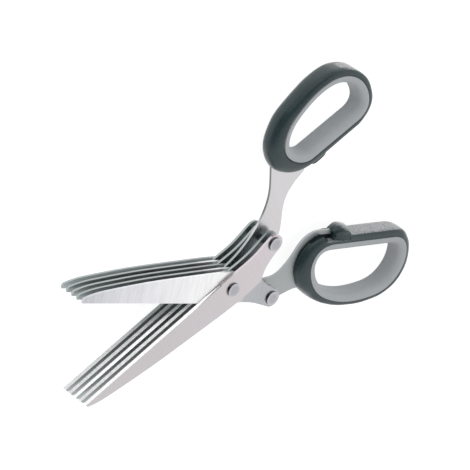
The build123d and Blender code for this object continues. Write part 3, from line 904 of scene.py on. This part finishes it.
def layFloor():
    mesh = bpy.data.meshes.new("floor")
    form = bmesh.new()
    bmesh.ops.create_grid(form, x_segments=1, y_segments=1, size=stage["floorSize"])
    form.to_mesh(mesh)
    form.free()
    floor = bpy.data.objects.new("floor", mesh)
    bpy.context.scene.collection.objects.link(floor)
    material, tree = newMaterial("paleMattFloor")
    path = addNode(tree, "ShaderNodeLightPath")
    seen = addNode(tree, "ShaderNodeMath", {}, {0: path.outputs["Is Camera Ray"],
                                                1: path.outputs["Is Glossy Ray"]},
                   operation="MAXIMUM")
    plain = addNode(tree, "ShaderNodeBsdfDiffuse", {"Color": srgb(stage["floorColour"])})
    lit = addNode(tree, "ShaderNodeBsdfDiffuse", {"Color": srgb(stage["shadowColour"])})
    glow = addNode(tree, "ShaderNodeEmission", {"Strength": stage["floorGlow"]})
    both = addNode(tree, "ShaderNodeAddShader", links={0: lit.outputs[0], 1: glow.outputs[0]})
    mixed = addNode(tree, "ShaderNodeMixShader",
                    links={0: seen.outputs["Value"], 1: plain.outputs[0], 2: both.outputs[0]})
    finishMaterial(tree, mixed)
    mesh.materials.append(material)


def lightWorld():
    # an even white studio, dark on the side where the photographer stands
    world = bpy.data.worlds.new("studio")
    world.use_nodes = True
    bpy.context.scene.world = world
    tree = world.node_tree
    tree.nodes.clear()
    path = addNode(tree, "ShaderNodeLightPath")
    place = addNode(tree, "ShaderNodeTexCoord")
    toward = addNode(tree, "ShaderNodeVectorMath", {1: stage["darkSide"]},
                     {0: place.outputs["Generated"]}, operation="DOT_PRODUCT")
    level = addNode(tree, "ShaderNodeMapRange",
                    {"From Min": stage["darkSpan"][0], "From Max": stage["darkSpan"][1],
                     "To Min": stage["worldLevel"], "To Max": stage["darkFill"]},
                    {"Value": toward.outputs["Value"]}, interpolation_type="SMOOTHSTEP")
    mirror = addNode(tree, "ShaderNodeMapRange",
                     {"From Min": stage["darkSpan"][0], "From Max": stage["darkSpan"][1],
                      "To Min": stage["mirrorLevel"], "To Max": stage["darkLevel"]},
                     {"Value": toward.outputs["Value"]}, interpolation_type="SMOOTHSTEP")
    fill = addNode(tree, "ShaderNodeBackground", links={"Strength": level.outputs["Result"]})
    seenByGloss = addNode(tree, "ShaderNodeBackground",
                          links={"Strength": mirror.outputs["Result"]})
    white = addNode(tree, "ShaderNodeBackground", {"Strength": 1.0})
    glossy = addNode(tree, "ShaderNodeMixShader",
                     links={0: path.outputs["Is Glossy Ray"], 1: fill.outputs[0],
                            2: seenByGloss.outputs[0]})
    mixed = addNode(tree, "ShaderNodeMixShader",
                    links={0: path.outputs["Is Camera Ray"], 1: glossy.outputs[0],
                           2: white.outputs[0]})
    addNode(tree, "ShaderNodeOutputWorld", links={"Surface": mixed.outputs[0]})


def addLamp():
    data = bpy.data.lights.new("keyFromBehind", "AREA")
    data.shape = "SQUARE"
    data.size = stage["lampSize"]
    data.energy = stage["lampPower"]
    lamp = bpy.data.objects.new("keyFromBehind", data)
    bpy.context.scene.collection.objects.link(lamp)
    place, aim = Vector(stage["lampPlace"]), Vector(stage["lampAim"])
    lamp.location = place
    lamp.rotation_euler = (aim - place).to_track_quat("-Z", "Y").to_euler()


def setCamera():
    data = bpy.data.cameras.new("photographCamera")
    data.sensor_width = shot["sensor"]
    data.lens = shot["sensor"] * shot["lensPixels"] / shot["imagePixels"]
    data.clip_start = shot["nearest"]
    data.clip_end = shot["farthest"]
    camera = bpy.data.objects.new("photographCamera", data)
    bpy.context.scene.collection.objects.link(camera)
    right, up = Vector(shot["right"]), Vector(shot["up"])
    turn = Matrix((right, up, right.cross(up))).transposed().to_4x4()
    camera.matrix_world = Matrix.Translation(shot["place"]) @ turn
    bpy.context.scene.camera = camera


layFloor()
lightWorld()
addLamp()
setCamera()
bpy.context.scene.view_settings.view_transform = "Standard"

print("scene ready")
